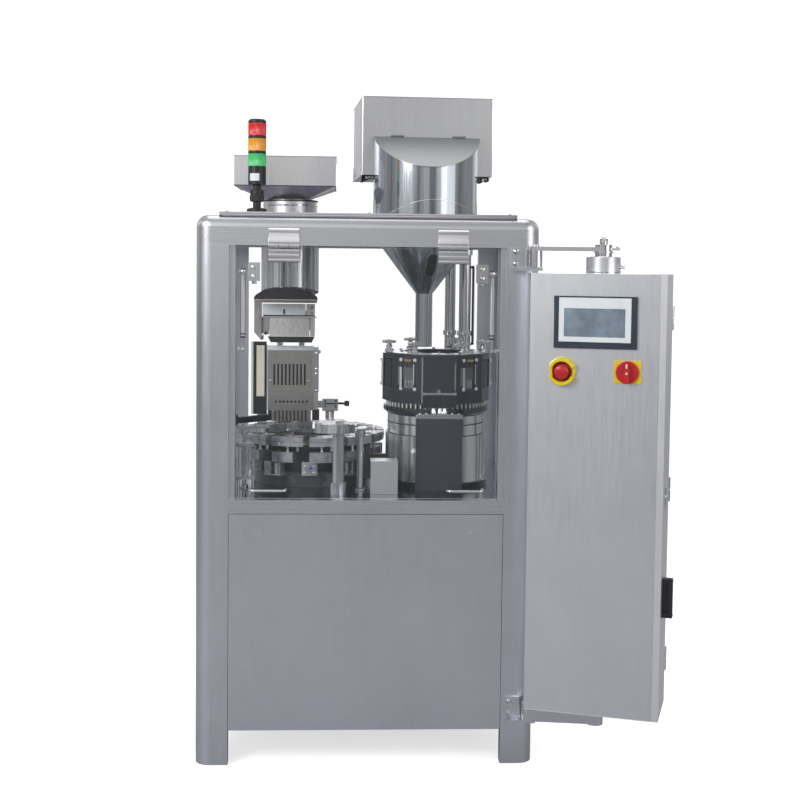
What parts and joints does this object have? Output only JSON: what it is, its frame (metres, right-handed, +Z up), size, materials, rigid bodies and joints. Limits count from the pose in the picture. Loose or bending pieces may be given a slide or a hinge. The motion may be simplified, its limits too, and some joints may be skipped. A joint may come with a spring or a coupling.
{
  "type": "automatic capsule filling machine",
  "caption": "Glazed stainless machine that fills hard capsules: turret, dosing station, capsule and powder hoppers, lifting door, signal tower and a control cabinet on swing arms.",
  "frame": {"origin": "on the floor, at the middle of the whole machine's plan with the control cabinet at rest", "axes": "+X to the right as seen from the front, +Y to the back, +Z up"},
  "size_m": [1.4134, 1.0828, 2.044],
  "materials": {
    "stainless": "brushed stainless sheet",
    "polished": "polished stainless",
    "mirror_table": "mirror-polished stainless plate",
    "clear": "clear acrylic",
    "chrome": "bright chrome",
    "black_plastic": "satin black plastic",
    "black_metal": "black anodised",
    "anthracite": "dark anodised aluminium",
    "aluminium": "machined aluminium",
    "tool_steel": "ground steel",
    "red_lens": "translucent red",
    "amber_lens": "translucent amber",
    "green_lens": "translucent green",
    "yellow": "yellow plastic",
    "red": "red plastic",
    "motor_paint": "blue-grey machine paint",
    "cast": "machined casting",
    "film": "clear cover plate with a tinted film",
    "panel_glass": "dark bezel with a grey screen"
  },
  "bodies": {
    "machine": {"frame_posts": "stainless", "top_frame": "stainless", "table_rails": "stainless", "roof_plate": "film", "table_plate": "mirror_table", "base_plate": "stainless", "front_rear_panels": "stainless", "side_panels": "stainless", "window_panes": "clear", "socket_screws": "tool_steel", "hinge_frame_leaves": "chrome", "tower_housing": "black_plastic", "green_lens": "green_lens", "amber_lens": "amber_lens", "red_lens": "red_lens", "capsule_hopper": "stainless", "feed_tube": "polished", "capsule_chute": "clear", "magazine_support": "aluminium", "turret_base": "black_metal", "closing_station": "tool_steel", "discharge_chute": "aluminium", "dosing_base": "polished", "head_columns": "polished", "dosing_cover": "black_metal", "powder_hopper": "polished", "feed_drive_box": "stainless", "drive_motor": "motor_paint", "shaft_supports": "cast", "index_boxes": "cast", "vacuum_pump": "motor_paint", "post_brackets": "stainless"},
    "front_door": {"door_pane": "clear", "door_handles": "chrome", "hinge_door_leaves": "chrome", "strut_door_clamps": "chrome"},
    "strut_rod": {"strut_rods": "chrome"},
    "strut_cylinder": {"strut_cylinders": "aluminium"},
    "magazine": {"magazine_block": "aluminium", "magazine_plate": "tool_steel", "adjuster_block": "aluminium"},
    "adjuster": {"adjuster_knob": "black_plastic"},
    "turret": {"turret_drum": "black_metal", "upper_segments": "tool_steel", "lower_segments": "tool_steel"},
    "dosing": {"dosing_bowl": "polished"},
    "tamping": {"tamping_head": "anthracite", "tamping_pins": "tool_steel", "tamping_knobs": "chrome"},
    "lid": {"hopper_lid": "stainless"},
    "agitator": {"powder_agitator": "polished"},
    "main_shaft": {"camshaft": "tool_steel"},
    "arms": {"swing_arms": "polished"},
    "cabinet": {"cabinet_shell": "stainless", "operator_panel": "panel_glass", "yellow_surrounds": "yellow"},
    "side_door": {"cabinet_side_door": "stainless", "cabinet_handle": "black_plastic"},
    "stop": {"stop_button": "red"},
    "main_switch": {"switch_knob": "red"}
  },
  "joints": [
    {"name": "front_door_lift", "type": "hinge", "parent": "machine", "child": "front_door", "pos_m": [-0.197, -0.325, 1.56], "axis": [-1, 0, 0], "range_deg": [0, 85]},
    {"name": "strut_lean", "type": "hinge", "parent": "machine", "child": "strut_rod", "pos_m": [-0.197, -0.28, 1.251], "axis": [1, 0, 0], "range_deg": [0, 24.6]},
    {"name": "strut_extend", "type": "slide", "parent": "strut_rod", "child": "strut_cylinder", "axis": [0, 0, 1], "range_m": [0, 0.0536]},
    {"name": "magazine_stroke", "type": "slide", "parent": "machine", "child": "magazine", "axis": [0, 0, 1], "range_m": [0, 0.015]},
    {"name": "adjuster_turn", "type": "hinge", "parent": "magazine", "child": "adjuster", "pos_m": [-0.287, 0.31, 1.026], "axis": [1, 0, 0], "continuous": true},
    {"name": "main_shaft_turn", "type": "hinge", "parent": "machine", "child": "main_shaft", "pos_m": [-0.197, 0.112, 0.42], "axis": [1, 0, 0], "continuous": true},
    {"name": "turret_index", "type": "hinge", "parent": "machine", "child": "turret", "pos_m": [-0.372, 0.092, 0.804], "axis": [0, 0, 1], "continuous": true},
    {"name": "dosing_index", "type": "hinge", "parent": "machine", "child": "dosing", "pos_m": [0.031, 0.032, 0.969], "axis": [0, 0, 1], "continuous": true},
    {"name": "tamping_stroke", "type": "slide", "parent": "machine", "child": "tamping", "axis": [0, 0, 1], "range_m": [0, 0.03]},
    {"name": "lid_lift", "type": "hinge", "parent": "machine", "child": "lid", "pos_m": [-0.00647, 0.04705, 1.918], "axis": [-0.9981, -0.061, 0], "range_deg": [0, 95]},
    {"name": "agitator_turn", "type": "hinge", "parent": "machine", "child": "agitator", "pos_m": [-0.008, 0.072, 1.7], "axis": [0, 0, 1], "continuous": true},
    {"name": "arm_swing", "type": "hinge", "parent": "machine", "child": "arms", "pos_m": [0.293, -0.352, 1.5], "axis": [0, 0, 1], "range_deg": [-35, 0]},
    {"name": "cabinet_turn", "type": "hinge", "parent": "arms", "child": "cabinet", "pos_m": [0.48883, -0.38127, 1.5], "axis": [0, 0, 1], "range_deg": [-20, 0]},
    {"name": "side_door_open", "type": "hinge", "parent": "cabinet", "child": "side_door", "pos_m": [0.70643, -0.34546, 0.85], "axis": [0, 0, 1], "range_deg": [0, 100]},
    {"name": "stop_press", "type": "slide", "parent": "cabinet", "child": "stop", "axis": [0.3173, 0.9483, 0], "range_m": [0, 0.005], "stiffness_N_per_m": 600},
    {"name": "main_switch_turn", "type": "hinge", "parent": "cabinet", "child": "main_switch", "pos_m": [0.53515, -0.52014, 1.209], "axis": [0.3173, 0.9483, 0], "range_deg": [0, 90]}
  ],
  "couplings": [
    {"joint": "strut_lean", "follows": "front_door_lift", "ratio": 0.28824},
    {"joint": "strut_extend", "follows": "front_door_lift", "m_per_rad": 0.03586},
    {"joint": "turret_index", "follows": "main_shaft_turn", "ratio": 0.083333},
    {"joint": "dosing_index", "follows": "main_shaft_turn", "ratio": -0.16667}
  ]
}
